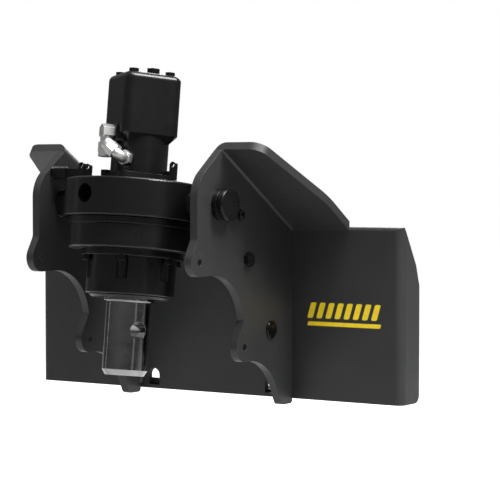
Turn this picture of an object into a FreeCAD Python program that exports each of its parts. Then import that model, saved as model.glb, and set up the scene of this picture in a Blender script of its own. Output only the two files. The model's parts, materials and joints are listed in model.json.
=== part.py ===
import FreeCAD, Part
import math
import os

import Sketcher
from FreeCAD import Placement, Rotation, Vector

# Hydraulic earth-auger drive hung on two side pins in a quick-attach mounting frame.
# X points right, Y to the loader and Z up. The origin is on the mount plate's rear face,
# the face that the loader holds, in the middle of its width, plate_bottom below.
# The drive's pieces are drawn about their own Z axis with the origin between the swing
# pins, and every one of them is then hung on the pins and leaned by "tilt".

DIMENSIONS = {
    # mount plate
    "plate_width": 655, "plate_top": 129, "plate_bottom": -125, "plate_gauge": 10,
    "wing_depth": 42, "bend_radius": 12, "wing_cut_z": 50,
    "hook_z": 112, "hook_reach": 30, "hook_fall": 46, "ledge_depth": 40,
    "window_x": 107, "window_width": 21, "window_bottom": -120, "window_top": -94,
    "slot_length": 60, "slot_width": 20,
    # side plates and their flaps
    "side_gauge": 12, "side_inner": 132.3, "lobe_radius": 20.4, "lobe_hole": 10.5,
    "flap_angle": -32, "flap_y": -195.6, "flap_z": 239.1, "flap_front": 206,
    "flap_rear": 241, "flap_length": 230, "flap_bend": 16, "fold_leg": 10,
    "side_bolt_y": -131.4, "side_bolt_z": 84.1, "side_bolt_radius": 6,
    "side_bar_y": -230, "side_bar_z": 201, "side_bar_reach": 26, "side_bar_depth": 42,
    "cap_y": -69.2, "cap_z": -19.4, "cap_radius": 13, "cap_hole": 9,
    # swing pins
    "pin_y": -200, "pin_z": 162.5, "tilt": -7, "pin_radius": 15, "running_gap": 0.05,
    "bush_radius": 20, "boss_radius": 20, "boss_end": 130.3, "pin_inner_end": 80,
    "pin_head_radius": 23.5, "pin_head_end": 163, "keeper_ring": 36, "keeper_turn": -23,
    "keeper_hole": 4.2, "keeper_gauge": 2.6,
    # hub and gear case along the drive's own axis
    "hub_top": 28.8, "hub_radius": 102, "hub_bottom": -24.7, "hub_bore": 26,
    "ring_bottom": -34.9, "case_radius": 93, "case_bottom": -68.3, "case_bore": 86,
    "flange_radius": 72.4, "flange_bottom": -77.6, "snout_radius": 63.2,
    "snout_bottom": -131, "snout_bolt_ring": 66.4, "snout_bolt_turn": -126,
    "snout_bolt_radius": 4, "snout_scallop": 9,
    "retainer_radius": 54, "retainer_bottom": -135.7,
    "side_bore": 13.5, "side_bore_s": 4.5, "side_bore_turn": -9,
    "lug_top": 57, "lug_width": 10, "lug_gauge": 6, "lug_eye": 3,
    # output shaft
    "shaft_radius": 32.5, "collar_radius": 36.3, "collar_bottom": -139.8,
    "shaft_end": -244.6, "shaft_chamfer": 8, "cross_hole": 12.5, "cross_hole_s": -181,
    "cross_hole_turn": 66, "shaft_seam_turn": 28,
    # planetary stage
    "gear_module": 2.5, "sun_teeth": 18, "planet_teeth": 21, "ring_teeth": 60,
    "gear_top": -28, "gear_face": 24, "planet_pin_radius": 10, "carrier_bottom": -61.3,
    # hydraulic motor
    "motor_turn": -33.3, "motor_side": 85.5, "motor_corner": 12.5, "motor_bottom": 85,
    "motor_bevel": 12, "motor_top": 184, "motor_edge": 9, "motor_bore": 20,
    "motor_flange_top": 41, "motor_flange_side": 88, "motor_flange_corner": 10,
    "flange_bolt_ring": 50, "flange_bolt_radius": 5, "top_bolt_ring": 38.8,
    "top_bolt_radius": 4, "plug_radius": 6, "plug_offset": 8, "neck_radius": 40.5,
    "port_boss_radius": 11.5, "port_boss_face": 42,
    "port_boss_turn": 10, "lower_port_height": 60.5, "port_pad_across": 8,
    "port_pad_half": 14, "port_pad_rise": 3, "upper_port_height": 97.5,
    "fitting_tube_radius": 8, "fitting_bend": 9, "fitting_hex_corner": 11,
}

doc = FreeCAD.newDocument("AugerDrive")
sheet = doc.addObject("Spreadsheet::Sheet", "Dimensions")
for row, (alias, value) in enumerate(DIMENSIONS.items(), start=1):
    sheet.set("A%d" % row, alias)
    sheet.set("B%d" % row, str(value))
    sheet.setAlias("B%d" % row, alias)
doc.recompute()

SIDES = (("left", -1), ("right", 1))
UP = Vector(0, 0, 1)
pieces = []


def dim(alias):
    """The value of a dimension in the sheet."""
    return float(sheet.get(alias))


def bind(thing, path, expression):
    """Tie a property to the sheet; dimension names in the expression stand alone."""
    words = [("Dimensions." + word if word in DIMENSIONS else word) for word in expression.split()]
    thing.setExpression(path, " ".join(words))


def polar(radius, degrees):
    """A point at a radius, its angle measured from +X."""
    angle = math.radians(degrees)
    return Vector(radius * math.cos(angle), radius * math.sin(angle), 0)


# ---------------------------------------------------------------- sketches and features

def new_body(label):
    body = doc.addObject("PartDesign::Body", label)
    body.Label = label
    pieces.append(body)
    return body


def sketch_on(body, role, offset=Placement()):
    """A sketch on one of the body's own origin planes."""
    sketch = body.newObject("Sketcher::SketchObject", body.Label + "_sketch")
    plane = next(item for item in body.Origin.OriginFeatures if item.Role == role)
    sketch.AttachmentSupport = [(plane, "")]
    sketch.MapMode = "FlatFace"
    sketch.AttachmentOffset = offset
    return sketch


def upright(wanted):
    """The offset from the XZ plane that puts a sketch at a wanted placement."""
    return Placement(Vector(), Rotation(Vector(1, 0, 0), 90)).inverse().multiply(wanted)


def outline(sketch, corners):
    """Draw a closed outline through (x, y, radius) corners, each rounded by its radius."""
    lines = []
    for index, (x, y, radius) in enumerate(corners):
        here = Vector(x, y, 0)
        before = (Vector(*corners[index - 1][:2], 0) - here).normalize()
        after = (Vector(*corners[(index + 1) % len(corners)][:2], 0) - here).normalize()
        half = before.getAngle(after) / 2
        reach = radius / math.tan(half)
        start = here + before * reach
        end = here + after * reach
        if radius:
            inward = (before + after).normalize()
            middle = here + inward * (radius / math.sin(half) - radius)
            sketch.addGeometry(Part.Arc(start, middle, end), False)
        lines.append((start, end))
    for index, (start, end) in enumerate(lines):
        previous = lines[index - 1][1]
        if previous.distanceToPoint(start) > 1e-6:
            sketch.addGeometry(Part.LineSegment(previous, start), False)


def round_slot(sketch, x, y, length, width):
    """Draw a slot along the sketch's X with a half circle at each end."""
    radius = width / 2
    reach = length / 2 - radius
    for side in (-1, 1):
        end = x + side * reach
        sketch.addGeometry(Part.Arc(Vector(end, y - radius, 0), Vector(end + side * radius, y, 0),
                                    Vector(end, y + radius, 0)), False)
        sketch.addGeometry(Part.LineSegment(Vector(x - reach, y + side * radius, 0),
                                            Vector(x + reach, y + side * radius, 0)), False)


def circle(sketch, expression, x=0, y=0):
    """Draw a circle whose radius follows the sheet."""
    index = sketch.addGeometry(Part.Circle(Vector(x, y, 0), UP, 5), False)
    constraint = sketch.addConstraint(Sketcher.Constraint("Radius", index, 5))
    bind(sketch, "Constraints[%d]" % constraint, expression)


def pad(body, sketch, expression, reverse=False, midplane=False):
    feature = body.newObject("PartDesign::Pad", body.Label + "_pad")
    feature.Profile = sketch
    feature.Midplane = midplane
    feature.Reversed = reverse
    bind(feature, "Length", expression)
    doc.recompute()
    return feature


def pocket(body, sketch, depth=1000, reverse=False, midplane=True):
    """Cut a sketch out of the body; the volume has to fall."""
    before = body.Shape.Volume
    feature = body.newObject("PartDesign::Pocket", body.Label + "_pocket")
    feature.Profile = sketch
    feature.Length = depth
    feature.Midplane = midplane
    feature.Reversed = reverse
    doc.recompute()
    if body.Shape.Volume >= before:
        raise ValueError(body.Label + ": a pocket cut nothing")
    return feature


def revolve(body, sketch, axis):
    feature = body.newObject("PartDesign::Revolution", body.Label + "_turn")
    feature.Profile = sketch
    feature.ReferenceAxis = (sketch, [axis])
    feature.Angle = 360
    doc.recompute()
    return feature


def dress_edges(body, kind, amount, expression, height):
    """Fillet or chamfer every edge of the body that lies flat at a height."""
    names = ["Edge%d" % (n + 1) for n, edge in enumerate(body.Shape.Edges)
             if abs(edge.BoundBox.ZMin - height) < 0.1 and abs(edge.BoundBox.ZMax - height) < 0.1]
    base = body.Tip
    feature = body.newObject("PartDesign::" + kind, body.Label + "_" + kind.lower())
    feature.Base = (base, names)
    bind(feature, amount, expression)
    doc.recompute()


def polar_copies(body, feature, count):
    """Repeat a feature around the body's own Z axis."""
    axis = next(item for item in body.Origin.OriginFeatures if item.Role == "Z_Axis")
    pattern = body.newObject("PartDesign::PolarPattern", body.Label + "_polar")
    pattern.Originals = [feature]
    pattern.Axis = (axis, [""])
    pattern.Angle = 360
    pattern.Occurrences = count
    body.Tip = pattern
    doc.recompute()
    return pattern


# ---------------------------------------------------------------- placing the drive

def drive_placement():
    turn = Rotation(Vector(1, 0, 0), dim("tilt"))
    return Placement(Vector(0, dim("pin_y"), dim("pin_z")), turn)


def hang(body):
    """Hang a body drawn in the drive's own frame on the pins."""
    body.Placement = drive_placement()
    bind(body, "Placement.Base.y", "pin_y")
    bind(body, "Placement.Base.z", "pin_z")
    bind(body, "Placement.Rotation.Angle", "tilt")


def turned(label, profile, role="XZ_Plane", axis="V_Axis"):
    """A body turned from a profile of (radius, height, corner radius) points."""
    body = new_body(label)
    sketch = sketch_on(body, role)
    outline(sketch, profile)
    revolve(body, sketch, axis)
    return body


def turned_on_drive(label, profile):
    body = turned(label, profile)
    hang(body)
    return body


def ring_profile(inner, outer, bottom, top, corner=0):
    return [(inner, bottom, 0), (outer, bottom, corner), (outer, top, corner), (inner, top, 0)]


def hex_bolt(label, place, across, head, shank, length):
    """A hex bolt: its shank runs down from the place and its head stands up from it."""
    head_piece = doc.addObject("Part::Prism", label + "_head")
    head_piece.Polygon = 6
    head_piece.Circumradius = across / math.sqrt(3)
    head_piece.Height = head
    shank_piece = doc.addObject("Part::Cylinder", label + "_shank")
    shank_piece.Radius = shank
    shank_piece.Height = length
    shank_piece.Placement = Placement(Vector(0, 0, -length), Rotation())
    bolt = doc.addObject("Part::Fuse", label)
    bolt.Base = head_piece
    bolt.Tool = shank_piece
    bolt.Placement = place
    bolt.Label = label
    pieces.append(bolt)
    return bolt


def round_bolt(label, place, head_radius, head, shank, length):
    """A socket cap screw, drawn like hex_bolt, with its hex socket."""
    body = new_body(label)
    sketch = sketch_on(body, "XZ_Plane")
    outline(sketch, [(0, -length, 0), (shank, -length, 0), (shank, 0, 0), (head_radius, 0, 0),
                     (head_radius, head, 1), (0, head, 0)])
    revolve(body, sketch, "V_Axis")
    socket = sketch_on(body, "XY_Plane", Placement(Vector(0, 0, head), Rotation()))
    corners = [polar(head_radius * 0.5, 60 * n) for n in range(6)]
    outline(socket, [(point.x, point.y, 0) for point in corners])
    pocket(body, socket, depth=head * 0.5, midplane=False)
    body.Placement = place
    return body


def on_drive(x, y, z, turn=Rotation()):
    return drive_placement().multiply(Placement(Vector(x, y, z), turn))


# ---------------------------------------------------------------- mounting frame

def mount_plate():
    """Front plate with both ends bent back as wings, and two lock-pin windows."""
    body = new_body("mount_plate")
    half = dim("plate_width") / 2
    gauge = dim("plate_gauge")
    wing = dim("wing_depth")
    bend = dim("bend_radius")
    plan = sketch_on(body, "XY_Plane", Placement(Vector(0, 0, dim("plate_bottom")), Rotation()))
    outline(plan, [(-half, wing, 0), (-half, -gauge, bend), (half, -gauge, bend), (half, wing, 0),
                   (half - gauge, wing, 0), (half - gauge, 0, bend - gauge),
                   (gauge - half, 0, bend - gauge), (gauge - half, wing, 0)])
    pad(body, plan, "plate_top - plate_bottom")

    top = dim("plate_top")
    bottom = dim("plate_bottom")
    past = wing + 20
    wing_cut = sketch_on(body, "YZ_Plane")
    outline(wing_cut, [(-2, top, 0), (wing - 10, dim("wing_cut_z") + 24, 20),
                       (wing, dim("wing_cut_z") - 6, 0), (past, dim("wing_cut_z") - 6, 0),
                       (past, top + 5, 0), (-2, top + 5, 0)])
    pocket(body, wing_cut)
    foot_cut = sketch_on(body, "YZ_Plane")
    outline(foot_cut, [(wing - 14, bottom, 0), (wing, bottom, 12), (wing, bottom + 14, 0),
                       (past, bottom + 14, 0), (past, bottom - 5, 0), (wing - 14, bottom - 5, 0)])
    pocket(body, foot_cut)

    windows = sketch_on(body, "XZ_Plane")
    reach = dim("window_width") / 2
    for _, side in SIDES:
        middle = side * dim("window_x")
        outline(windows, [(middle - reach, dim("window_bottom"), 1.5),
                          (middle + reach, dim("window_bottom"), 1.5),
                          (middle + reach, dim("window_top"), reach - 0.1),
                          (middle - reach, dim("window_top"), reach - 0.1)])
    pocket(body, windows)
    brow_cut = sketch_on(body, "YZ_Plane")
    outline(brow_cut, [(-gauge, top - 7, 0), (-gauge, top, 6), (7 - gauge, top, 0),
                       (7 - gauge, top + 5, 0), (-gauge - 5, top + 5, 0),
                       (-gauge - 5, top - 7, 0)])
    pocket(body, brow_cut)


def hook_bar():
    """Sloping bar behind the plate's top edge; the loader's plate slides up under it."""
    body = new_body("hook_bar")
    reach = dim("hook_reach")
    gauge = dim("plate_gauge")
    section = sketch_on(body, "YZ_Plane")
    outline(section, [(0, dim("hook_z"), 0), (reach, dim("hook_z") - dim("hook_fall"), 2),
                      (reach, dim("hook_z") - dim("hook_fall") - 1.6 * gauge, 2),
                      (0, dim("hook_z") - 1.6 * gauge, 0)])
    pad(body, section, "plate_width - 2 * bend_radius", midplane=True)


def lock_ledge():
    """Shelf behind the plate's bottom edge with a slot for each of the loader's lock pins."""
    body = new_body("lock_ledge")
    half = dim("plate_width") / 2 - dim("bend_radius")
    depth = dim("ledge_depth")
    shelf = sketch_on(body, "XY_Plane", Placement(Vector(0, 0, dim("plate_bottom")), Rotation()))
    outline(shelf, [(-half, 0, 0), (half, 0, 0), (half, depth, 4), (-half, depth, 4)])
    pad(body, shelf, "plate_gauge")
    slots = sketch_on(body, "XY_Plane", Placement(Vector(0, 0, dim("plate_bottom")), Rotation()))
    for _, side in SIDES:
        round_slot(slots, side * dim("window_x"), depth / 2, dim("slot_length"),
                   dim("slot_width"))
    pocket(body, slots)


def side_outline():
    """The side plate's edge as (y, z, radius) corners, from the rear top round the front.

    Its top stops fold_leg below the fold, where the folded flap's own leg takes over.
    """
    front = -dim("plate_gauge")
    lobe = dim("lobe_radius")
    leg = dim("fold_leg")
    slope = math.radians(dim("flap_angle"))
    under_y = dim("flap_y") + leg * math.sin(slope)
    under_z = dim("flap_z") - leg * math.cos(slope)
    rear_z = under_z + (front - under_y) * math.tan(slope)
    return [(front, rear_z, 0), (under_y, under_z, 0), (dim("flap_y"), dim("flap_z"), 0),
            (-255.8, 194.3, 45), (-255.8, 115.7, 14), (-285.8, 63.8, lobe),
            (-151.8, 66.2, 79), (-139.7, -2.5, 3), (-173.3, -60.7, lobe), (-74.7, -61.5, 82.6),
            (-39.8, -131.9, 10), (front, -131.9, 5)]


def side_plate(name, side):
    """Swing-pin side plate with its outward flap, folded from one piece."""
    body = new_body(name + "_side_plate")
    gauge = dim("side_gauge")
    inner = side * dim("side_inner")
    outer = inner + side * gauge
    profile = sketch_on(body, "YZ_Plane", Placement(Vector(0, 0, inner), Rotation()))
    outline(profile, side_outline())
    circle(profile, "bush_radius + running_gap", dim("pin_y"), dim("pin_z"))
    circle(profile, "lobe_hole / 2", -250.4, 84.2)
    circle(profile, "lobe_hole / 2", -137.9, -40.3)
    circle(profile, "side_bolt_radius + 0.2", dim("side_bolt_y"), dim("side_bolt_z"))
    circle(profile, "cap_hole", dim("cap_y"), dim("cap_z"))
    keeper = keeper_point()
    circle(profile, "keeper_hole", keeper.x, keeper.y)
    pad(body, profile, "side_gauge", reverse=side < 0)

    slope = Rotation(Vector(1, 0, 0), dim("flap_angle"))
    start = Vector(0, dim("flap_y"), dim("flap_z"))
    length = dim("flap_length")
    edge = side * (dim("flap_rear") + 5)
    bend = dim("flap_bend")
    leg = -dim("fold_leg") - 12
    across = upright(Placement(start, slope.multiply(Rotation(Vector(1, 0, 0), 90))))
    section = sketch_on(body, "XZ_Plane", across)
    outline(section, [(inner, leg, 0), (inner, gauge, bend), (edge, gauge, 0), (edge, 0, 0),
                      (outer, 0, bend - gauge), (outer, leg, 0)])
    pad(body, section, "flap_length", reverse=True)

    trim = sketch_on(body, "XY_Plane", Placement(start, slope))
    front_edge = side * dim("flap_front")
    rear_edge = side * dim("flap_rear")
    far = side * 300
    outline(trim, [(side * 165, 0, 0), (front_edge, 0, 24), (rear_edge, 0.62 * length, 150),
                   (rear_edge, length + 10, 0), (far, length + 10, 0), (far, -20, 0),
                   (side * 165, -20, 0)])
    pocket(body, trim, depth=60)
    behind = sketch_on(body, "YZ_Plane")
    front = -dim("plate_gauge")
    outline(behind, [(front, 80, 0), (front + 60, 80, 0), (front + 60, 180, 0), (front, 180, 0)])
    pocket(body, behind)


def keeper_point():
    """Where the keeper screw sits beside the pin head, in the side plate's y and z."""
    return Vector(dim("pin_y"), dim("pin_z"), 0) + polar(dim("keeper_ring"), dim("keeper_turn"))


def swing_pin(name, side):
    """Headed pin through the side plate into the hub's boss."""
    end = dim("pin_head_end")
    outer = dim("side_inner") + dim("side_gauge")
    head = dim("pin_head_radius")
    shank = dim("pin_radius")
    profile = [(dim("pin_inner_end"), 0, 0), (dim("pin_inner_end"), shank, 2),
               (outer, shank, 0), (outer, head - 0.8, 0), (outer + 8, head - 0.8, 1),
               (outer + 8, head - 3.5, 0), (outer + 11, head - 3.5, 0), (outer + 11, head, 1),
               (end, head, 3), (end, 0, 0)]
    body = turned(name + "_swing_pin", [(side * x, y, r) for x, y, r in profile],
                  "XY_Plane", "H_Axis")
    body.Placement = Placement(Vector(0, dim("pin_y"), dim("pin_z")), Rotation())
    bind(body, "Placement.Base.y", "pin_y")
    bind(body, "Placement.Base.z", "pin_z")


def swing_bush(name, side):
    """Hardened sleeve pressed into the side plate round the pin."""
    inner = dim("side_inner")
    bore = dim("pin_radius") + dim("running_gap")
    profile = [(inner, bore, 0), (inner + dim("side_gauge"), bore, 0),
               (inner + dim("side_gauge"), dim("bush_radius"), 0), (inner, dim("bush_radius"), 0)]
    body = turned(name + "_swing_bush", [(side * x, y, r) for x, y, r in profile],
                  "XY_Plane", "H_Axis")
    body.Placement = Placement(Vector(0, dim("pin_y"), dim("pin_z")), Rotation())
    bind(body, "Placement.Base.y", "pin_y")
    bind(body, "Placement.Base.z", "pin_z")


def outward(side, y, z, x):
    """A placement on a side plate whose Z axis points away from the frame."""
    return Placement(Vector(side * x, y, z), Rotation(UP, Vector(side, 0, 0)))


def side_fittings(name, side):
    """Keeper screw, stop bolt with its nut, and the domed cap of one side plate."""
    outer = dim("side_inner") + dim("side_gauge")
    keeper = keeper_point()
    groove = outer + 8
    round_bolt(name + "_keeper_screw", outward(side, keeper.x, keeper.y, groove + 2.8), 6, 5.5, 4,
               dim("side_gauge") + 10.8)
    keeper_plate(name, side, groove)
    y = dim("side_bolt_y")
    z = dim("side_bolt_z")
    hex_bolt(name + "_side_bolt", outward(side, y, z, outer), 18, 7.5,
             dim("side_bolt_radius"), dim("side_gauge") + 12)
    nut = doc.addObject("Part::Prism", name + "_side_nut_blank")
    nut.Polygon = 6
    nut.Circumradius = 18 / math.sqrt(3)
    nut.Height = 10
    hole = doc.addObject("Part::Cylinder", name + "_side_nut_hole")
    hole.Height = 10
    bind(hole, "Radius", "side_bolt_radius")
    cut = doc.addObject("Part::Cut", name + "_side_nut")
    cut.Base = nut
    cut.Tool = hole
    cut.Placement = outward(-side, y, z, -dim("side_inner"))
    cut.Label = name + "_side_nut"
    pieces.append(cut)
    cap = turned(name + "_cap", [(0, -14, 0), (dim("cap_hole") - 0.5, -14, 1),
                                 (dim("cap_hole") - 0.5, 0, 0), (dim("cap_radius"), 0, 0),
                                 (dim("cap_radius"), 3, 2), (0, 4.5, 0)])
    cap.Placement = outward(side, dim("cap_y"), dim("cap_z"), outer)


def keeper_plate(name, side, groove):
    """Small flat bar that sits in the pin head's groove, held by the keeper screw."""
    body = new_body(name + "_keeper_plate")
    ring = dim("keeper_ring")
    sketch = sketch_on(body, "XY_Plane")
    inner_end = dim("pin_head_radius") - 3
    outline(sketch, [(inner_end, -8, 0), (ring + 8, -8, 5), (ring + 8, 8, 5), (inner_end, 8, 0)])
    circle(sketch, "keeper_hole", ring, 0)
    pad(body, sketch, "keeper_gauge")
    turn = Rotation(Vector(0, 1, 0), Vector(0, 0, 1), Vector(1, 0, 0), "ZXY")
    spin = Rotation(Vector(1, 0, 0), dim("keeper_turn"))
    start = side * (groove + 0.2) - (dim("keeper_gauge") if side < 0 else 0)
    body.Placement = Placement(Vector(start, dim("pin_y"), dim("pin_z")), spin.multiply(turn))


def side_bar():
    """Flat bar on the left side plate's inner face, above the pin boss."""
    body = new_body("left_side_bar")
    inner = -dim("side_inner")
    sketch = sketch_on(body, "XY_Plane", Placement(Vector(0, 0, dim("side_bar_z")), Rotation()))
    front = dim("side_bar_y")
    edge = inner + dim("side_bar_reach")
    rear = front + dim("side_bar_depth")
    outline(sketch, [(inner, front, 0), (edge, front, 3), (edge, rear, 3), (inner, rear, 0)])
    pad(body, sketch, "side_gauge")


# ---------------------------------------------------------------- hub and gear case

def hub():
    """Round hub with the two pin bosses, four side bores and the recess for the case."""
    top = dim("hub_top")
    bottom = dim("hub_bottom")
    radius = dim("hub_radius")
    recess = dim("case_bore")
    body = new_body("hub")
    sketch = sketch_on(body, "XZ_Plane")
    outline(sketch, [(dim("hub_bore"), bottom + 9, 0), (recess, bottom + 9, 0), (recess, bottom, 0),
                     (radius, bottom, 2.5), (radius, top, 3), (dim("hub_bore"), top, 0)])
    revolve(body, sketch, "V_Axis")
    for _, side in SIDES:
        boss = sketch_on(body, "YZ_Plane", Placement(Vector(0, 0, side * 90), Rotation()))
        circle(boss, "boss_radius")
        pad(body, boss, "boss_end - 90", reverse=side < 0)
        bore = sketch_on(body, "YZ_Plane", Placement(Vector(0, 0, side * 78), Rotation()))
        circle(bore, "pin_radius + running_gap")
        pocket(body, bore, depth=100, reverse=side > 0, midplane=False)
        turn = Rotation(Vector(0, 1, 0), dim("side_bore_turn"))
        front = sketch_on(body, "XZ_Plane", Placement(Vector(), turn).multiply(
            Placement(Vector(0, 0, side * 76), Rotation())))
        circle(front, "side_bore", 0, dim("side_bore_s"))
        pocket(body, front, depth=100, reverse=side > 0, midplane=False)
    bolt_holes(body, "flange_bolt_ring", "flange_bolt_radius + 0.15", top, 15, reverse=False)
    hang(body)


def bolt_holes(body, ring, radius, height, depth, reverse, count=4, first=None):
    """Holes for a ring of bolts, cut down from a height in the drive's frame."""
    sketch = sketch_on(body, "XY_Plane", Placement(Vector(0, 0, height), Rotation()))
    start = dim("motor_turn") + 45 if first is None else first
    for index in range(count):
        seat = polar(dim(ring), start + 360 / count * index)
        circle(sketch, radius, seat.x, seat.y)
    pocket(body, sketch, depth=depth, midplane=False, reverse=reverse)


def lug(label, x, y):
    """Small upright lug with an eye, welded on the hub's top."""
    body = new_body(label)
    gauge = dim("lug_gauge")
    width = dim("lug_width")
    base = dim("hub_top")
    profile = sketch_on(body, "XZ_Plane", Placement(Vector(x, 0, gauge / 2 - y), Rotation()))
    outline(profile, [(-width / 2, base, 0), (width / 2, base, 0),
                      (width / 2, dim("lug_top"), width / 2 - 0.1),
                      (-width / 2, dim("lug_top"), width / 2 - 0.1)])
    circle(profile, "lug_eye", 0, dim("lug_top") - width / 2)
    pad(body, profile, "lug_gauge", reverse=True)
    hang(body)


def involute_profile(teeth, outer, root, thickness_gap, inside=False):
    """Points round a spur gear: involute flanks from the root to the outer circle."""
    module = dim("gear_module")
    pitch = module * teeth / 2
    base = pitch * math.cos(math.radians(20))
    pitch_roll = math.tan(math.radians(20)) - math.radians(20)
    half_tooth = math.pi / (2 * teeth) - thickness_gap / pitch
    if inside:
        half_tooth = math.pi / (2 * teeth) + thickness_gap / pitch
    low = min(outer, root)
    high = max(outer, root)
    radii = [max(low, base) + (high - max(low, base)) * step / 4 for step in range(5)]
    flank = []
    for radius in radii:
        pressure = math.acos(base / radius)
        flank.append((radius, half_tooth + pitch_roll - (math.tan(pressure) - pressure)))
    if low < base:
        flank.insert(0, (low, flank[0][1]))
    points = []
    for tooth in range(teeth):
        middle = 2 * math.pi * tooth / teeth
        side_a = [(radius, middle - angle) for radius, angle in flank]
        side_b = [(radius, middle + angle) for radius, angle in reversed(flank)]
        for radius, angle in side_a + side_b:
            points.append(Vector(radius * math.cos(angle), radius * math.sin(angle), 0))
    return points


def gear_blank(points, bottom, height):
    wire = Part.makePolygon(points + [points[0]])
    blank = Part.Face(wire).extrude(Vector(0, 0, height))
    blank.translate(Vector(0, 0, bottom))
    return blank


def add_shape(label, shape, place):
    """A piece whose shape is worked out by formula, placed after it is set."""
    feature = doc.addObject("Part::Feature", label)
    feature.Label = label
    feature.Shape = shape
    feature.Placement = place
    pieces.append(feature)
    return feature


def planetary_stage():
    """Sun, three planets and the fixed ring of the reduction stage, in mesh."""
    module = dim("gear_module")
    top = dim("gear_top")
    face = dim("gear_face")
    sun_teeth = int(dim("sun_teeth"))
    planet_teeth = int(dim("planet_teeth"))
    ring_teeth = int(dim("ring_teeth"))
    gap = 0.12

    ring_pitch = module * ring_teeth / 2
    hollow = involute_profile(ring_teeth, ring_pitch - 0.85 * module, ring_pitch + 1.25 * module,
                              gap, inside=True)
    ring = Part.makeCylinder(dim("case_bore") - 0.1, face + 6, Vector(0, 0, top - face - 3))
    opening = gear_blank(hollow, top - face - 4, face + 8)
    opening.rotate(Vector(), UP, 180 / ring_teeth)
    ring = ring.cut(opening)
    add_shape("ring_gear", ring, drive_placement())

    sun_pitch = module * sun_teeth / 2
    sun = gear_blank(involute_profile(sun_teeth, sun_pitch + 0.95 * module,
                                      sun_pitch - 1.25 * module, gap), top - face, face)
    stem = Part.makeCylinder(14, 16, Vector(0, 0, top))
    add_shape("sun_gear", sun.fuse(stem).removeSplitter(), drive_placement())

    planet_pitch = module * planet_teeth / 2
    centre = sun_pitch + planet_pitch
    blank = gear_blank(involute_profile(planet_teeth, planet_pitch + 0.95 * module,
                                        planet_pitch - 1.25 * module, gap), top - face, face)
    planet = blank.cut(Part.makeCylinder(dim("planet_pin_radius") + dim("running_gap"), face,
                                         Vector(0, 0, top - face)))
    foot = dim("carrier_bottom")
    for index in range(3):
        angle = 90 + 120 * index
        place = drive_placement().multiply(Placement(polar(centre, angle), Rotation()))
        turn = planet_turn(angle, sun_teeth, planet_teeth)
        spun = place.multiply(Placement(Vector(), Rotation(UP, turn)))
        add_shape("planet_gear_%d" % (index + 1), planet, spun)
        pin = turned("planet_pin_%d" % (index + 1),
                     [(0, foot, 0), (dim("planet_pin_radius"), foot, 1),
                      (dim("planet_pin_radius"), top + 1, 1), (0, top + 1, 0)])
        pin.Placement = place


def planet_turn(angle, sun_teeth, planet_teeth):
    """The turn that puts a planet's gap over the sun's tooth at that angle."""
    sun_phase = (angle * sun_teeth / 360) % 1
    toward_sun = 180 + angle
    return toward_sun - (0.5 - sun_phase) * 360 / planet_teeth


def gear_case():
    """Ring, case, bolted snout and retainer below the hub."""
    ring_bottom = dim("ring_bottom")
    case = dim("case_radius")
    bore = dim("case_bore")
    turned_on_drive("case_ring", ring_profile(bore, case + 1, ring_bottom, dim("hub_bottom"), 1))
    bottom = dim("case_bottom")
    wall = bottom + 6
    body = new_body("gear_case")
    sketch = sketch_on(body, "XZ_Plane")
    outline(sketch, [(46, bottom, 0), (case, bottom, 3), (case, ring_bottom, 1),
                     (bore, ring_bottom, 0), (bore, wall, 2), (46, wall, 0)])
    revolve(body, sketch, "V_Axis")
    bolt_holes(body, "snout_bolt_ring", "snout_bolt_radius + 0.15", wall + 1, 8, False, 6,
               dim("snout_bolt_turn"))
    hang(body)


def snout():
    """Bearing housing of the output shaft, scalloped under its six flange bolts."""
    body = new_body("snout")
    sketch = sketch_on(body, "XZ_Plane")
    top = dim("case_bottom")
    flange = dim("flange_bottom")
    bottom = dim("snout_bottom")
    radius = dim("snout_radius")
    outline(sketch, [(50, bottom, 0), (radius, bottom, 2), (radius, flange, 0),
                     (dim("flange_radius"), flange, 1), (dim("flange_radius"), top, 0),
                     (46, top, 0), (46, top - 24, 0), (41, top - 24, 0), (41, top - 34, 0),
                     (50, top - 34, 0)])
    revolve(body, sketch, "V_Axis")
    scallop = sketch_on(body, "XY_Plane", Placement(Vector(0, 0, flange), Rotation()))
    seat = bolt_point(0)
    circle(scallop, "snout_scallop", seat.x, seat.y)
    first = pocket(body, scallop, depth=32, midplane=False)
    polar_copies(body, first, 6)
    bolt_holes(body, "snout_bolt_ring", "snout_bolt_radius + 0.15", top + 1, 12, False, 6,
               dim("snout_bolt_turn"))
    hang(body)


def bolt_point(index):
    return polar(dim("snout_bolt_ring"), dim("snout_bolt_turn") + 60 * index)


def snout_bolts():
    for index in range(6):
        seat = bolt_point(index)
        place = on_drive(seat.x, seat.y, dim("flange_bottom"), Rotation(Vector(1, 0, 0), 180))
        round_bolt("snout_bolt_%d" % (index + 1), place, 6.5, 8, dim("snout_bolt_radius"), 15)


def bearings():
    """The output shaft's two bearings and the seal retainer below them."""
    top = dim("case_bottom")
    bottom = dim("snout_bottom")
    bore = dim("shaft_radius") + dim("running_gap")
    turned_on_drive("upper_bearing", ring_profile(bore, 45.9, top - 22, top - 2, 1))
    turned_on_drive("lower_bearing", ring_profile(bore, 49.9, top - 56, top - 36, 1))
    turned_on_drive("seal_retainer", [(40, bottom - 0.2, 0), (dim("snout_radius") - 3, bottom, 1),
                                      (dim("retainer_radius"), dim("retainer_bottom"), 0.5),
                                      (44, dim("retainer_bottom"), 0), (44, bottom - 3, 0),
                                      (40, bottom - 3, 0)])


# ---------------------------------------------------------------- output shaft

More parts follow.
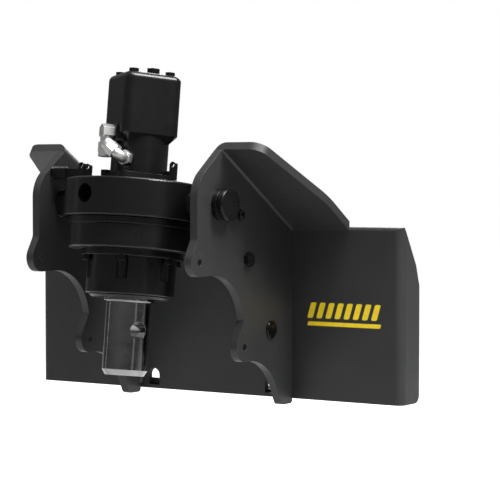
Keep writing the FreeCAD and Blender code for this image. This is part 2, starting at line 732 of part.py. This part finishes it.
def output_shaft():
    """Round drive shaft with its collar, end chamfer and cross hole."""
    body = new_body("output_shaft")
    radius = dim("shaft_radius")
    end = dim("shaft_end")
    collar = dim("collar_bottom")
    chamfer = dim("shaft_chamfer")
    foot = dim("carrier_bottom")
    seam = Rotation(Vector(0, 1, 0), dim("shaft_seam_turn"))
    sketch = sketch_on(body, "XZ_Plane", Placement(Vector(), seam))
    outline(sketch, [(0, end, 0), (radius - 5, end, 0), (radius, end + chamfer, 0),
                     (radius, collar, 1), (dim("collar_radius"), collar, 1),
                     (dim("collar_radius"), dim("snout_bottom") + 4, 0),
                     (radius, dim("snout_bottom") + 4, 0), (radius, foot - 0.7, 0),
                     (25, foot - 0.7, 0), (25, foot + 6.8, 1), (0, foot + 6.8, 0)])
    revolve(body, sketch, "V_Axis")
    turn = Rotation(Vector(0, 1, 0), dim("cross_hole_turn"))
    hole = sketch_on(body, "XZ_Plane", Placement(Vector(), turn))
    circle(hole, "cross_hole", 0, dim("cross_hole_s"))
    pocket(body, hole)
    hang(body)


def carrier():
    """Planet carrier splined to the shaft, with a seat for each planet pin."""
    body = new_body("planet_carrier")
    foot = dim("carrier_bottom")
    sketch = sketch_on(body, "XZ_Plane")
    outline(sketch, [(25 + dim("running_gap"), foot, 0), (64, foot, 2), (64, foot + 7, 2),
                     (25 + dim("running_gap"), foot + 7, 0)])
    revolve(body, sketch, "V_Axis")
    ring = dim("gear_module") * (dim("sun_teeth") + dim("planet_teeth")) / 2
    seats = sketch_on(body, "XY_Plane", Placement(Vector(0, 0, foot), Rotation()))
    for index in range(3):
        seat = polar(ring, 90 + 120 * index)
        circle(seats, "planet_pin_radius + running_gap", seat.x, seat.y)
    pocket(body, seats, depth=60)
    hang(body)


# ---------------------------------------------------------------- motor

def motor():
    """Square hydraulic motor on its round neck, with a seat for each of its two fittings."""
    body = new_body("motor_housing")
    bottom = dim("motor_bottom")
    top = dim("motor_top")
    half = dim("motor_side") / 2
    corner = dim("motor_corner")
    flange_top = dim("motor_flange_top")
    square = Placement(Vector(0, 0, bottom), Rotation(UP, dim("motor_turn")))
    block = sketch_on(body, "XY_Plane", square)
    outline(block, [(-half, -half, corner), (half, -half, corner), (half, half, corner),
                    (-half, half, corner)])
    pad(body, block, "motor_top - motor_bottom")
    dress_edges(body, "Fillet", "Radius", "motor_edge", top)
    dress_edges(body, "Chamfer", "Size", "motor_bevel", bottom)

    upper_seat = facing("motor_turn", half - 12)
    port_pad = sketch_on(body, "XZ_Plane", upper_seat)
    left = dim("port_pad_across") - dim("port_pad_half")
    right = dim("port_pad_across") + dim("port_pad_half")
    low = dim("upper_port_height") - dim("port_pad_half")
    high = dim("upper_port_height") + dim("port_pad_half")
    outline(port_pad, [(left, low, 5), (right, low, 5), (right, high, 5), (left, high, 5)])
    pad(body, port_pad, "port_pad_rise + 12")

    neck = sketch_on(body, "XZ_Plane")
    radius = dim("neck_radius")
    shoulder = bottom + dim("motor_bevel")
    outline(neck, [(0, flange_top, 0), (radius, flange_top, 0), (radius, shoulder, 0),
                   (0, shoulder, 0)])
    revolve(body, neck, "V_Axis")
    boss = sketch_on(body, "XZ_Plane", facing("port_boss_turn", 30))
    circle(boss, "port_boss_radius", 0, dim("lower_port_height"))
    pad(body, boss, "port_boss_face - 30")

    hollow = sketch_on(body, "XY_Plane", Placement(Vector(0, 0, flange_top), Rotation()))
    circle(hollow, "motor_bore")
    pocket(body, hollow, depth=70, midplane=False, reverse=True)
    bolt_holes(body, "top_bolt_ring", "top_bolt_radius + 0.15", top, 31, False)
    drain = sketch_on(body, "XY_Plane", Placement(Vector(0, 0, top), Rotation()))
    circle(drain, "plug_radius + 0.15", dim("plug_offset"), dim("plug_offset"))
    pocket(body, drain, depth=13, midplane=False)
    hang(body)


def facing(turn, distance):
    """The sketch offset from the XZ plane to an upright face at a turn about the drive's axis."""
    spin = Rotation(Vector(0, 1, 0), dim(turn))
    return Placement(Vector(), spin).multiply(Placement(Vector(0, 0, distance), Rotation()))


def motor_flange():
    """Square plate that bolts the motor's neck down on the hub."""
    body = new_body("motor_flange")
    side = dim("motor_flange_side") / 2
    corner = dim("motor_flange_corner")
    square = Placement(Vector(0, 0, dim("hub_top")), Rotation(UP, dim("motor_turn")))
    plan = sketch_on(body, "XY_Plane", square)
    outline(plan, [(-side, -side, corner), (side, -side, corner), (side, side, corner),
                   (-side, side, corner)])
    circle(plan, "hub_bore")
    pad(body, plan, "motor_flange_top - hub_top")
    bolt_holes(body, "flange_bolt_ring", "flange_bolt_radius + 0.15", dim("motor_flange_top"),
               20, False)
    hang(body)


def motor_fittings():
    """The bolts of the motor and its flange, the plug in its top and its drive shaft."""
    flange_top = dim("motor_flange_top")
    top = dim("motor_top")
    for index in range(4):
        angle = dim("motor_turn") + 45 + 90 * index
        low = polar(dim("flange_bolt_ring"), angle)
        hex_bolt("flange_bolt_%d" % (index + 1), on_drive(low.x, low.y, flange_top), 16, 6.4,
                 dim("flange_bolt_radius"), 26)
        high = polar(dim("top_bolt_ring"), angle)
        hex_bolt("motor_bolt_%d" % (index + 1), on_drive(high.x, high.y, top), 13, 5,
                 dim("top_bolt_radius"), 30)
    offset = dim("plug_offset")
    hex_bolt("drain_plug", on_drive(offset, offset, top), 17, 11.5, dim("plug_radius"), 12)
    turned_on_drive("motor_shaft", [(0, dim("gear_top") + 16, 0), (12.5, dim("gear_top") + 16, 1),
                                    (12.5, 105, 1), (0, 105, 0)])


def elbow(label, turn, seat, base_length, bend_start, lean, free_end):
    """Ninety-degree hydraulic fitting screwed into the motor, its free end leaning.

    The port faces turn, and seat is its place as seen from there: across, out and up.
    The bend starts at bend_start above the port, inside the base hexagon where that is
    longer, and free_end is the straight run between the bend and the nut.
    """
    tube = dim("fitting_tube_radius")
    bend = dim("fitting_bend")
    nut_length = 14
    thread_length = 6
    corners = [polar(dim("fitting_hex_corner"), 60 * n) for n in range(7)]
    hexagon = Part.Face(Part.makePolygon(corners))
    base = hexagon.extrude(Vector(0, 0, base_length))
    neck = Part.makeCylinder(tube, bend_start, Vector())
    quarter = Part.Face(Part.Wire(Part.Circle(Vector(0, 0, bend_start), UP, tube).toShape()))
    curve = quarter.revolve(Vector(bend, 0, bend_start), Vector(0, 1, 0), 90)
    middle = bend_start + bend
    along = Vector(1, 0, 0)
    tail = Part.makeCylinder(tube, free_end + 1, Vector(bend, 0, middle), along)
    nut = hexagon.extrude(Vector(0, 0, nut_length))
    nut.rotate(Vector(), Vector(0, 1, 0), 90)
    nut.translate(Vector(bend + free_end, 0, middle))
    thread_start = bend + free_end + nut_length
    thread = Part.makeCylinder(tube + 1.5, thread_length, Vector(thread_start, 0, middle), along)
    mouth_start = Vector(thread_start - 6, 0, middle)
    mouth = Part.makeCylinder(tube - 1.5, thread_length + 7, mouth_start, along)
    shape = base.multiFuse([neck, curve, tail, nut, thread]).cut(mouth)
    across, out, height = seat
    spin = Rotation(UP, dim(turn))
    port = spin.multVec(Vector(across, -out, height))
    outwards = spin.multiply(Rotation(Vector(1, 0, 0), 90))
    place = Placement(port, outwards.multiply(Rotation(UP, lean)))
    add_shape(label, shape, drive_placement().multiply(place))


def fittings():
    upper_face = dim("motor_side") / 2 + dim("port_pad_rise")
    upper_seat = (dim("port_pad_across"), upper_face, dim("upper_port_height"))
    elbow("upper_elbow", "motor_turn", upper_seat, 17, 0.5, -90, 7)
    lower_seat = (0, dim("port_boss_face"), dim("lower_port_height"))
    elbow("lower_elbow", "port_boss_turn", lower_seat, 9, 11, 141, 0)


mount_plate()
hook_bar()
lock_ledge()
for name, side in SIDES:
    side_plate(name, side)
    swing_pin(name, side)
    swing_bush(name, side)
    side_fittings(name, side)
side_bar()
hub()
lug("left_front_lug", -83, -24)
lug("left_rear_lug", -85, -7)
lug("right_front_lug", 78.5, -25)
gear_case()
planetary_stage()
snout()
snout_bolts()
bearings()
output_shaft()
carrier()
motor()
motor_flange()
motor_fittings()
fittings()

doc.recompute()
failed = [item.Label for item in doc.Objects if {"Invalid", "Error"} & set(item.State)]
if failed:
    raise RuntimeError("failed objects: " + ", ".join(failed))
os.makedirs("parts", exist_ok=True)
for piece in pieces:
    if piece.Shape.isNull() or not piece.Shape.isValid():
        raise RuntimeError("bad shape: " + piece.Label)
    piece.Shape.exportStep(os.path.join("parts", piece.Label + ".step"))
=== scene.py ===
"""Looks of the auger drive and its mounting frame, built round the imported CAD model."""

import json
import math

import bmesh
import bpy
from mathutils import Euler, Matrix, Vector


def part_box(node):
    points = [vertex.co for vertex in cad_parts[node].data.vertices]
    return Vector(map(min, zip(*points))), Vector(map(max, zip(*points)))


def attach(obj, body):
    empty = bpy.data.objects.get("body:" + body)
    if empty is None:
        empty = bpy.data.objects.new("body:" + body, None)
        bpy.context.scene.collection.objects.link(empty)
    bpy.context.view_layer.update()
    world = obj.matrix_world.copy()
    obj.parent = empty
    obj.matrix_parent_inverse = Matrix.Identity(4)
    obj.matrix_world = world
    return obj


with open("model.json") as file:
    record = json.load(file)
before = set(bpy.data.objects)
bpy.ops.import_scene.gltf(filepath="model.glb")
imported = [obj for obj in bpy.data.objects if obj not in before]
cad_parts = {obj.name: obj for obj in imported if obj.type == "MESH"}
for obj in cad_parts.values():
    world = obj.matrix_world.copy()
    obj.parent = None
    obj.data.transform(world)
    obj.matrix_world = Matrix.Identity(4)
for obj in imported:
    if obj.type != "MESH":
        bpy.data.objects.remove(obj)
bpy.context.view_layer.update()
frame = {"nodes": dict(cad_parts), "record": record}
nodes = frame["nodes"]

# Metres, as in part.py. At rest the drive hangs turned by TILT about the swing pins.
TILT = math.radians(7.0)
PIN = Vector((0.0, -0.200, 0.1625))
HUB_TOP = 0.0288                # above the pins, in the drive's own axes
LUG_HALF_THICKNESS = 0.003
LUG_Y = {"left_front_lug": -0.024, "left_rear_lug": -0.007, "right_front_lug": -0.025}
PLATE_FRONT = -0.010            # y of the mount plate's front face

SIDE_BEAD = 0.004
REAR_BEAD = 0.005
LUG_BEAD = 0.0026
RIPPLE_LENGTH = 0.0011          # one ripple ring of a bead
STITCHES = 5                    # short beads along the hook bar and along the ledge
STITCH_PITCH = 0.135
STITCH_HALF = 0.032

DECAL_LEFT, DECAL_RIGHT, DECAL_BOTTOM = 0.170, 0.299, -0.016
DECAL_BARS = 8
DECAL_BAR_SHARE = 0.62          # of the pitch, the rest is gap
DECAL_LEAN = 0.007
VINYL_PROUD = 0.00025
VINYL_SUNK = 0.0001

FLOOR_Z = -0.42
FLOOR_HALF = 14.0

EDGE_RADIUS = 0.0007            # apparent rounding of sharp edges


# ---------------------------------------------------------------- node helpers

class Nodes:
    """Short way to add and link the nodes of one material."""

    def __init__(self, name):
        self.material = bpy.data.materials.new(name)
        self.material.use_nodes = True
        self.tree = self.material.node_tree
        self.tree.nodes.clear()
        self.shader = self.add("ShaderNodeBsdfPrincipled")
        output = self.add("ShaderNodeOutputMaterial")
        self.link(self.shader.outputs[0], output.inputs["Surface"])
        self.place = self.add("ShaderNodeTexCoord").outputs["Object"]

    def add(self, kind, **settings):
        """New node of a kind, with its settings."""
        node = self.tree.nodes.new(kind)
        for key, value in settings.items():
            setattr(node, key, value)
        return node

    def link(self, source, target):
        self.tree.links.new(source, target)

    def mapped(self, scale, turn=(0, 0, 0)):
        """Object coordinates, turned and stretched."""
        node = self.add("ShaderNodeMapping")
        node.inputs["Scale"].default_value = scale
        node.inputs["Rotation"].default_value = turn
        self.link(self.place, node.inputs["Vector"])
        return node.outputs[0]

    def noise(self, scale, detail=3.0, roughness=0.55, vector=None):
        """Noise of about scale features to the metre."""
        node = self.add("ShaderNodeTexNoise")
        node.inputs["Scale"].default_value = scale
        node.inputs["Detail"].default_value = detail
        node.inputs["Roughness"].default_value = roughness
        self.link(vector or self.place, node.inputs["Vector"])
        return node.outputs["Fac"]

    def ramp(self, source, low, high, first, second):
        """Maps low..high of source to first..second, numbers or colours."""
        node = self.add("ShaderNodeMapRange")
        node.inputs["From Min"].default_value = low
        node.inputs["From Max"].default_value = high
        if isinstance(first, (int, float)):
            node.inputs["To Min"].default_value = first
            node.inputs["To Max"].default_value = second
            self.link(source, node.inputs["Value"])
            return node.outputs["Result"]
        self.link(source, node.inputs["Value"])
        return self.blend(node.outputs["Result"], first, second)

    def blend(self, factor, first, second):
        """Mix of two colours, each a fixed colour or a socket."""
        node = self.add("ShaderNodeMix", data_type="RGBA")
        self.link(factor, node.inputs["Factor"])
        for socket, value in (("A", first), ("B", second)):
            target = [i for i in node.inputs if i.name == socket and i.type == "RGBA"][0]
            if isinstance(value, bpy.types.NodeSocket):
                self.link(value, target)
            else:
                target.default_value = (*value, 1.0)
        return [o for o in node.outputs if o.type == "RGBA"][0]

    def math(self, operation, first, second):
        """Result of a maths node, clamped to 0..1."""
        node = self.add("ShaderNodeMath", operation=operation, use_clamp=True)
        for socket, value in zip(node.inputs, (first, second)):
            if isinstance(value, bpy.types.NodeSocket):
                self.link(value, socket)
            else:
                socket.default_value = value
        return node.outputs[0]

    def edge_mask(self, radius):
        """One along sharp edges, nothing on flat faces."""
        bevel = self.add("ShaderNodeBevel", samples=6)
        bevel.inputs["Radius"].default_value = radius
        geometry = self.add("ShaderNodeNewGeometry")
        dot = self.add("ShaderNodeVectorMath", operation="DOT_PRODUCT")
        self.link(bevel.outputs[0], dot.inputs[0])
        self.link(geometry.outputs["Normal"], dot.inputs[1])
        return self.ramp(dot.outputs["Value"], 0.995, 0.80, 0.0, 1.0)

    def surface(self, heights, edge_radius=EDGE_RADIUS):
        """Rounded edge normals with fine relief on top: (height, strength, depth) each."""
        bevel = self.add("ShaderNodeBevel", samples=6)
        bevel.inputs["Radius"].default_value = edge_radius
        normal = bevel.outputs[0]
        for height, strength, depth in heights:
            bump = self.add("ShaderNodeBump")
            bump.inputs["Strength"].default_value = strength
            bump.inputs["Distance"].default_value = depth
            self.link(height, bump.inputs["Height"])
            self.link(normal, bump.inputs["Normal"])
            normal = bump.outputs[0]
        self.link(normal, self.shader.inputs["Normal"])

    def set(self, **values):
        """Sets or links the shader's inputs, with _ for each space in a name."""
        for key, value in values.items():
            socket = self.shader.inputs[key.replace("_", " ")]
            if isinstance(value, bpy.types.NodeSocket):
                self.link(value, socket)
            else:
                socket.default_value = value


def painted(name, dark, light, rough, peel, edge_wear_and_sheen, edge_wear_and_sheen_colour, coat=0.0,
            edge=EDGE_RADIUS, shine=0.5):
    """Painted or powder-coated steel: mottled colour, orange peel, and edges lighter in patches,
    partly wear and partly a painted highlight.
    """
    m = Nodes(name)
    broad = m.noise(9.0, 4.0)
    fine = m.noise(420.0, 2.0)
    patches = m.noise(70.0, 5.0, 0.65)
    colour = m.ramp(broad, 0.3, 0.7, dark, light)
    # Lighter colour along sharp edges in patches: partly wear, partly a painted highlight for the
    # light the edges catch.
    wear_and_sheen_edges = m.math("MULTIPLY", m.edge_mask(0.0011), m.ramp(patches, 0.42, 0.62, 0.0, edge_wear_and_sheen))
    m.set(Base_Color=m.blend(wear_and_sheen_edges, colour, edge_wear_and_sheen_colour),
          Roughness=m.ramp(patches, 0.3, 0.7, rough - 0.03, rough + 0.05))
    m.surface([(fine, peel, 0.0002), (broad, peel * 0.5, 0.0006)], edge)
    m.set(Specular_IOR_Level=shine, Coat_Weight=coat, Coat_Roughness=0.08)
    return m.material


def bare_metal(name, dark, light, rough, lines, turn, stretch=(30, 30, 2600)):
    """Machined or plated metal with fine tool marks across one direction."""
    m = Nodes(name)
    marks = m.noise(1.0, 3.0, 0.6, m.mapped(stretch, turn))
    stains = m.noise(38.0, 5.0, 0.6)
    m.set(Base_Color=m.ramp(stains, 0.32, 0.68, dark, light), Metallic=1.0,
          Roughness=m.ramp(marks, 0.3, 0.7, rough - 0.05, rough + 0.08))
    m.surface([(marks, lines, 0.00008)], 0.0005)
    return m.material


def moulded(name, dark, light, rough):
    """Moulded plastic with a fine grain."""
    m = Nodes(name)
    grain = m.noise(1500.0, 2.0)
    m.set(Base_Color=m.ramp(m.noise(60.0), 0.3, 0.7, dark, light),
          Roughness=m.ramp(grain, 0.3, 0.7, rough - 0.06, rough + 0.08),
          Specular_IOR_Level=0.25)
    m.surface([(grain, 0.12, 0.00015)], 0.0006)
    return m.material


ALONG_SHAFT = (TILT, 0, 0)

# Each finish's lighter edge colour and its amount stand for wear and a painted edge highlight
# together.
FINISHES = {
    "frame_coat": painted(
        "frame_powder_coat", (0.0158, 0.0161, 0.0164), (0.0222, 0.0225, 0.0228),
        rough=0.44, peel=0.10, edge_wear_and_sheen=0.30, edge_wear_and_sheen_colour=(0.06, 0.06, 0.062)),
    "drive_coat": painted(
        "drive_gloss_black", (0.0030, 0.0030, 0.0032), (0.0050, 0.0050, 0.0054),
        rough=0.30, peel=0.03, edge_wear_and_sheen=0.06, edge_wear_and_sheen_colour=(0.014, 0.014, 0.015),
        coat=0.05, edge=0.0003, shine=0.32),
    "fastener": painted(
        "fastener_black", (0.0035, 0.0035, 0.0037), (0.0065, 0.0065, 0.0068),
        rough=0.26, peel=0.03, edge_wear_and_sheen=0.20, edge_wear_and_sheen_colour=(0.04, 0.04, 0.04),
        coat=0.03, edge=0.0006, shine=0.18),
    "steel": bare_metal(
        "turned_steel", (0.29, 0.29, 0.295), (0.39, 0.39, 0.395),
        rough=0.11, lines=0.05, turn=ALONG_SHAFT),
    "inner_steel": bare_metal(
        "ground_steel", (0.38, 0.38, 0.39), (0.52, 0.52, 0.53),
        rough=0.3, lines=0.3, turn=ALONG_SHAFT),
    "zinc": bare_metal(
        "zinc_plate", (0.60, 0.60, 0.59), (0.70, 0.70, 0.69),
        rough=0.44, lines=0.03, turn=ALONG_SHAFT, stretch=(60, 60, 90)),
    "plastic_cap": moulded("black_cap", (0.0016, 0.0016, 0.0016), (0.003, 0.003, 0.003), rough=0.2),
}

for part in frame["record"]["subparts"]:
    node = nodes[part["node"]]
    node.data.materials.clear()
    node.data.materials.append(FINISHES[part["material_slot"]])


# ---------------------------------------------------------------- welds and decal

def add_piece(name, verts, faces, body, material, smooth=True):
    """A mesh piece that rides on a CAD body."""
    mesh = bpy.data.meshes.new(name)
    mesh.from_pydata(verts, [], faces)
    mesh.materials.append(material)
    for polygon in mesh.polygons:
        polygon.use_smooth = smooth
    piece = bpy.data.objects.new(name, mesh)
    bpy.context.scene.collection.objects.link(piece)
    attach(piece, body)
    return piece


def weld(name, body, slot, start, end, first, second, size):
    """Rippled fillet bead from start to end, in the corner between two directions."""
    start, end, first, second = (Vector(v) for v in (start, end, first, second))
    count = max(8, int((end - start).length / RIPPLE_LENGTH))
    verts = []
    faces = []
    middle = (first + second).normalized()
    # Directions from the corner to the bead's face, and how far out it is in each.
    section = [(first, 1.0), ((first * 2 + middle).normalized(), 0.93), (middle, 0.86),
               ((second * 2 + middle).normalized(), 0.93), (second, 1.0)]
    for step in range(count + 1):
        along = start.lerp(end, step / count)
        taper = min(1.0, 0.55 + min(step, count - step) * 0.15)
        ripple = 1.0 + 0.07 * (step % 3 - 1) + 0.05 * math.sin(step * 0.61 + size * 900)
        verts.append(along)
        verts.extend(along + way * (size * share * ripple * taper) for way, share in section)
    ring = len(section) + 1
    for step in range(count):
        base = step * ring
        for corner in range(ring):
            after = (corner + 1) % ring
            faces.append((base + corner, base + after, base + ring + after, base + ring + corner))
    faces.append(tuple(reversed(range(ring))))
    faces.append(tuple(range(count * ring, (count + 1) * ring)))
    bead = add_piece(name, verts, faces, body, FINISHES[slot])
    tidy = bmesh.new()
    tidy.from_mesh(bead.data)
    bmesh.ops.recalc_face_normals(tidy, faces=tidy.faces)
    tidy.to_mesh(bead.data)
    tidy.free()


def frame_welds():
    """Beads that join the side plates, the hook bar and the ledge to the mount plate."""
    plate_low, plate_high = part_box("mount_plate")
    for name, side in (("left", -1), ("right", 1)):
        low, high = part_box(name + "_swing_bush")
        inner = side * min(abs(low[0]), abs(high[0]))
        weld("weld_" + name, "frame", "frame_coat",
             (inner, PLATE_FRONT, plate_low[2] + 0.006),
             (inner, PLATE_FRONT, plate_high[2] - 0.009), (-side, 0, 0), (0, -1, 0), SIDE_BEAD)
    for name, node, along_face in (("hook", "hook_bar", (0, 0.55, -0.83)),
                                   ("ledge", "lock_ledge", (0, 1, 0))):
        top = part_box(node)[1][2]
        for number in range(STITCHES):
            centre = (number - STITCHES // 2) * STITCH_PITCH
            weld("weld_%s_%d" % (name, number), "frame", "frame_coat",
                 (centre - STITCH_HALF, 0, top), (centre + STITCH_HALF, 0, top),
                 (0, 0, 1), along_face, REAR_BEAD)
    low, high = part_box("left_side_bar")
    for name, height, way in (("under", low[2], -1), ("over", high[2], 1)):
        weld("weld_bar_" + name, "frame", "frame_coat", (low[0], low[1] + 0.002, height),
             (low[0], high[1] - 0.002, height), (1, 0, 0), (0, 0, way), SIDE_BEAD)


def lug_welds():
    """A bead along each of the four sides of each lug's foot on the hub."""
    hang = Matrix.Translation(PIN) @ Matrix.Rotation(-TILT, 4, "X")
    turn = hang.to_3x3()
    x_way, y_way, up = Vector((1, 0, 0)), Vector((0, 1, 0)), Vector((0, 0, 1))
    for name, lug_y in LUG_Y.items():
        low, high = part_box(name)
        foot = Vector(((low[0] + high[0]) / 2, lug_y, HUB_TOP))
        half_x = (high[0] - low[0]) / 2
        for number, (way, across, reach, run) in enumerate((
                (x_way, y_way, half_x, LUG_HALF_THICKNESS),
                (-x_way, y_way, half_x, LUG_HALF_THICKNESS),
                (y_way, x_way, LUG_HALF_THICKNESS, half_x),
                (-y_way, x_way, LUG_HALF_THICKNESS, half_x))):
            edge = foot + way * reach
            weld("weld_%s_%d" % (name, number), "drive", "drive_coat",
                 hang @ (edge - across * run), hang @ (edge + across * run),
                 turn @ way, turn @ up, LUG_BEAD)


def vinyl_shape(name, outline, material):
    """Thin vinyl cut to an outline of x and z points, just proud of the plate."""
    verts = [(x, PLATE_FRONT - VINYL_PROUD, z) for x, z in outline]
    verts += [(x, PLATE_FRONT + VINYL_SUNK, z) for x, z in outline]
    count = len(outline)
    faces = [tuple(range(count)), tuple(reversed(range(count, 2 * count)))]
    for n in range(count):
        after = (n + 1) % count
        faces.append((n, after, count + after, count + n))
    add_piece(name, verts, faces, "frame", material, smooth=False)


def vinyl_bar(left, right, bottom, top, lean):
    """Outline of a bar whose top is moved sideways by lean, with rounded corners."""
    corners = [Vector((right + lean, top)), Vector((left + lean, top)),
               Vector((left, bottom)), Vector((right, bottom))]
    radius = min(top - bottom, right - left) * 0.3
    outline = []
    for n, corner in enumerate(corners):
        before = corner + (corners[n - 1] - corner).normalized() * radius
        after = corner + (corners[(n + 1) % 4] - corner).normalized() * radius
        for step in range(6):
            t = step / 5
            outline.append(tuple(before * (1 - t) ** 2 + corner * 2 * t * (1 - t) + after * t * t))
    return outline


def decal(material):
    """A row of leaning bars over a thin line: a plain mark with no letters."""
    pitch = (DECAL_RIGHT - DECAL_LEAN - DECAL_LEFT) / DECAL_BARS
    for n in range(DECAL_BARS):
        start = DECAL_LEFT + n * pitch
        vinyl_shape("decal_bar_%d" % n, vinyl_bar(
            start, start + pitch * DECAL_BAR_SHARE, DECAL_BOTTOM + 0.011, DECAL_BOTTOM + 0.034,
            DECAL_LEAN), material)
    vinyl_shape("decal_line", vinyl_bar(DECAL_LEFT, DECAL_RIGHT - DECAL_LEAN, DECAL_BOTTOM,
                                        DECAL_BOTTOM + 0.006, 0.002), material)


def vinyl(name, dark, light):
    """Printed yellow vinyl, a little scuffed."""
    m = Nodes(name)
    scuffs = m.noise(160.0, 6.0, 0.7)
    m.set(Base_Color=m.ramp(scuffs, 0.3, 0.72, light, dark),
          Roughness=m.ramp(scuffs, 0.3, 0.7, 0.32, 0.5))
    m.surface([(m.noise(700.0, 2.0), 0.05, 0.0001)])
    return m.material


frame_welds()
lug_welds()
decal(vinyl("yellow_vinyl", (0.80, 0.57, 0.012), (0.96, 0.71, 0.022)))


# ---------------------------------------------------------------- floor, light and camera

def studio_floor(colour):
    """Pale floor that stays white out to the horizon and keeps a faint shadow."""
    m = Nodes("floor_pale")
    seen = m.add("ShaderNodeLightPath").outputs["Is Camera Ray"]
    m.set(Base_Color=m.ramp(m.noise(2.0), 0.3, 0.7, colour, tuple(c * 1.02 for c in colour)),
          Roughness=0.9, Specular_IOR_Level=0.0, Emission_Color=(1, 1, 1, 1),
          Emission_Strength=m.math("MULTIPLY", seen, 0.8))
    corners = [(x * FLOOR_HALF, y * FLOOR_HALF, FLOOR_Z) for x, y in
               ((-1, -1), (1, -1), (1, 1), (-1, 1))]
    mesh = bpy.data.meshes.new("floor")
    mesh.from_pydata(corners, [], [(0, 1, 2, 3)])
    mesh.materials.append(m.material)
    floor = bpy.data.objects.new("floor", mesh)
    bpy.context.scene.collection.objects.link(floor)


def softbox(name, place, target, size, power):
    """Rectangular area light turned to face a point."""
    light = bpy.data.lights.new(name, "AREA")
    light.shape = "RECTANGLE"
    light.size, light.size_y = size
    light.energy = power
    holder = bpy.data.objects.new(name, light)
    holder.location = place
    holder.rotation_euler = (Vector(target) - Vector(place)).to_track_quat("-Z", "Y").to_euler()
    bpy.context.scene.collection.objects.link(holder)


def studio_world():
    """White where the camera sees it; as a light, it fades from high up down to the horizon."""
    world = bpy.data.worlds.new("studio")
    bpy.context.scene.world = world
    world.use_nodes = True
    shaders, links = world.node_tree.nodes, world.node_tree.links
    shaders.clear()
    lighting, backdrop = (shaders.new("ShaderNodeBackground") for _ in range(2))
    for background in (lighting, backdrop):
        background.inputs["Color"].default_value = (1, 1, 1, 1)
        background.inputs["Strength"].default_value = 1.0
    split = shaders.new("ShaderNodeSeparateXYZ")
    links.new(shaders.new("ShaderNodeTexCoord").outputs["Generated"], split.inputs[0])
    fade = shaders.new("ShaderNodeMapRange")
    for name, value in (("From Min", 0.0), ("From Max", 0.6), ("To Min", 0.05), ("To Max", 0.42)):
        fade.inputs[name].default_value = value
    links.new(split.outputs["Z"], fade.inputs["Value"])
    links.new(fade.outputs["Result"], lighting.inputs["Strength"])
    choose = shaders.new("ShaderNodeMixShader")
    links.new(shaders.new("ShaderNodeLightPath").outputs["Is Camera Ray"], choose.inputs[0])
    links.new(lighting.outputs[0], choose.inputs[1])
    links.new(backdrop.outputs[0], choose.inputs[2])
    output = shaders.new("ShaderNodeOutputWorld")
    links.new(choose.outputs[0], output.inputs["Surface"])


def photo_camera():
    """Camera at the photograph's viewing angle."""
    lens = bpy.data.cameras.new("camera")
    lens.lens = 137.72
    lens.sensor_width = 36.0
    camera = bpy.data.objects.new("camera", lens)
    camera.location = (1.62187, -2.39967, 0.20381)
    camera.rotation_euler = Euler((math.radians(90 - 2.246), 0, math.radians(33)))
    bpy.context.scene.collection.objects.link(camera)
    bpy.context.scene.camera = camera


studio_floor((0.56, 0.56, 0.56))
# Name, place, the point it faces, width and height in metres, watts.
softbox("key", (0.9, -0.9, 3.3), (0, -0.1, 0.1), (1.3, 1.1), 84)
softbox("side", (1.8, 0.0, 2.6), (0.1, -0.1, 0.05), (1.2, 1.2), 165)
softbox("fill", (-2.2, -1.4, 1.6), (0, -0.2, 0.1), (0.6, 0.6), 3)
softbox("left_strip", (-2.5, -0.85, 0.2), (0, -0.2, 0.0), (0.10, 1.6), 0.5)
softbox("right_strip", (2.6, -1.0, 0.4), (0, -0.2, 0.0), (0.4, 1.6), 0.5)
softbox("behind", (-0.8, 2.4, 1.6), (0, 0, 0.1), (1.6, 1.2), 40)
studio_world()
photo_camera()
bpy.context.scene.view_settings.view_transform = "Standard"
